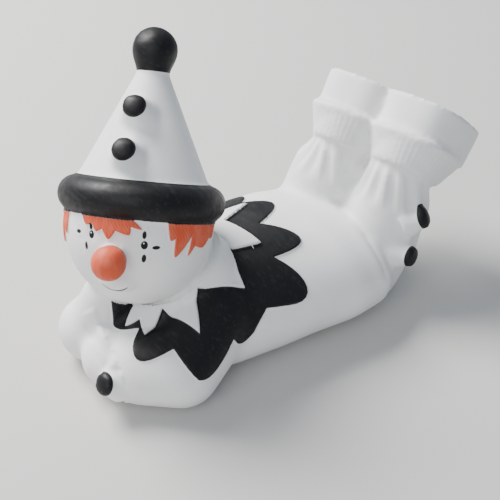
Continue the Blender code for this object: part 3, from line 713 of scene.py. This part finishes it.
black = np.maximum(cape_shown, BRIM_SPREAD - off_brim(places))
black = np.maximum(black, np.minimum((places - np.array(hat_tip)) @ np.array(HEAD_UP),
                                     BALL_REACH - np.linalg.norm(places - np.array(hat_ball), axis=1)))
for foot, direction in pompoms:
    local = places - np.array(foot)
    rise = local @ np.array(direction)
    aside = np.linalg.norm(local - rise[:, None] * np.array(direction), axis=1)
    cap = np.minimum(BUTTON_RADIUS + CAP_SPREAD - aside, CAP_LAYER - np.abs(rise - BUTTON_HEIGHT))
    black = np.maximum(black, np.minimum(rise - (BUTTON_HEIGHT - CAP_START), cap))
black = np.maximum(black, face_depth(places))
off_nose = np.linalg.norm(places - np.array(nose_centre), axis=1) - NOSE_RADIUS
orange = np.maximum(hair, NOSE_SPREAD - off_nose)
keep("black_depth", black / MM)
keep("orange_depth", np.minimum(orange, off_brim(places) - ORANGE_BRIM_GAP) / MM)

porcelain = bpy.data.materials.new("painted bisque")
porcelain.use_nodes = True
nodes = porcelain.node_tree.nodes
links = porcelain.node_tree.links
surface = nodes["Principled BSDF"]
WHITE = (0.85, 0.85, 0.84, 1)
WHITE_SHADE = (0.79, 0.79, 0.785, 1)
BLACK = (0.004, 0.004, 0.005, 1)
# The paler black is used for the random brush streaks and for the painted highlight along the black's edges.
BLACK_STREAK_AND_HIGHLIGHT = (0.030, 0.031, 0.033, 1)
ORANGE = (0.62, 0.085, 0.035, 1)
ORANGE_THIN = (0.66, 0.13, 0.065, 1)
own_place = nodes.new('ShaderNodeTexCoord').outputs['Object']


def reach_of(name, low, high):
    """0 off the colour and 1 on it, from the stored depth."""
    source = nodes.new('ShaderNodeAttribute')
    source.attribute_name = name
    ramp = nodes.new('ShaderNodeMapRange')
    ramp.inputs['From Min'].default_value = low
    ramp.inputs['From Max'].default_value = high
    links.new(source.outputs['Fac'], ramp.inputs['Value'])
    return ramp.outputs['Result']


def mottle(scale, stretch, low, high):
    """Uneven brushwork, 0 to 1, drawn out by stretch along three directions."""
    frame_of_brush = nodes.new('ShaderNodeMapping')
    frame_of_brush.inputs['Scale'].default_value = stretch
    frame_of_brush.inputs['Rotation'].default_value = (0.4, 0.25, 0.9)
    links.new(own_place, frame_of_brush.inputs['Vector'])
    noise = nodes.new('ShaderNodeTexNoise')
    noise.inputs['Scale'].default_value = scale
    noise.inputs['Detail'].default_value = 5
    links.new(frame_of_brush.outputs['Vector'], noise.inputs['Vector'])
    ramp = nodes.new('ShaderNodeMapRange')
    ramp.inputs['From Min'].default_value = low
    ramp.inputs['From Max'].default_value = high
    links.new(noise.outputs['Fac'], ramp.inputs['Value'])
    return ramp.outputs['Result']


def both(first, second):
    product = nodes.new('ShaderNodeMath')
    product.operation = 'MULTIPLY'
    links.new(first, product.inputs[0])
    links.new(second, product.inputs[1])
    return product.outputs['Value']


def blended(factor, low, high):
    mix = nodes.new('ShaderNodeMix')
    mix.data_type = 'RGBA'
    links.new(factor, mix.inputs['Factor'])
    for value, socket in ((low, mix.inputs['A']), (high, mix.inputs['B'])):
        if isinstance(value, tuple):
            socket.default_value = value
        else:
            links.new(value, socket)
    return mix.outputs['Result']


white = blended(mottle(70, (1, 1, 1), 0.35, 0.7), WHITE, WHITE_SHADE)
orange_paint = blended(mottle(420, (1, 1, 0.35), 0.40, 0.68), ORANGE, ORANGE_THIN)
brushed = blended(mottle(900, (0.12, 1, 1), 0.55, 0.95), BLACK, BLACK_STREAK_AND_HIGHLIGHT)
# Painted highlight: a thin band along every edge of the black paint turns paler, broken up by mottle.
painted_highlight_rim = both(reach_of("black_depth", 0.45, 0.05), mottle(260, (1, 1, 1), 0.48, 0.62))
black_paint = blended(painted_highlight_rim, brushed, BLACK_STREAK_AND_HIGHLIGHT)
colour = blended(reach_of("orange_depth", -0.14, 0.10), white, orange_paint)
colour = blended(reach_of("black_depth", -0.07, 0.07), colour, black_paint)
links.new(colour, surface.inputs['Base Color'])
surface.inputs['Specular IOR Level'].default_value = 0.28
roughness = nodes.new('ShaderNodeMapRange')
roughness.inputs['To Min'].default_value = 0.42
roughness.inputs['To Max'].default_value = 0.62
links.new(mottle(300, (1, 1, 1), 0.3, 0.7), roughness.inputs['Value'])
links.new(roughness.outputs['Result'], surface.inputs['Roughness'])
grain = nodes.new('ShaderNodeBump')
grain.inputs['Strength'].default_value = 0.10
grain.inputs['Distance'].default_value = 0.0001
links.new(mottle(2600, (1, 1, 1), 0.2, 0.8), grain.inputs['Height'])
links.new(grain.outputs['Normal'], surface.inputs['Normal'])
figure.data.materials.clear()
figure.data.materials.append(porcelain)

# Own frame. The middle of the figurine's outline comes over the origin, its underside stays on the table,
# and the casting is kept within the solid's box. It takes the place of the plain solid.
low = np.array(figure.bound_box[0])
high = np.array(figure.bound_box[6])
solid_low, solid_high = (np.array(corner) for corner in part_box("clown_figurine"))
fit = float(min(1.0, ((solid_high - solid_low) / (high - low)).min()))
figure.location = Vector((-(low[0] + high[0]) / 2, -(low[1] + high[1]) / 2, 0)) * fit
figure.scale = (fit, fit, fit)
bpy.ops.object.select_all(action='DESELECT')
figure.select_set(True)
bpy.context.view_layer.objects.active = figure
bpy.ops.object.transform_apply(location=True, rotation=True, scale=True)
bpy.ops.object.shade_smooth()
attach(figure, "root")
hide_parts("clown_figurine")
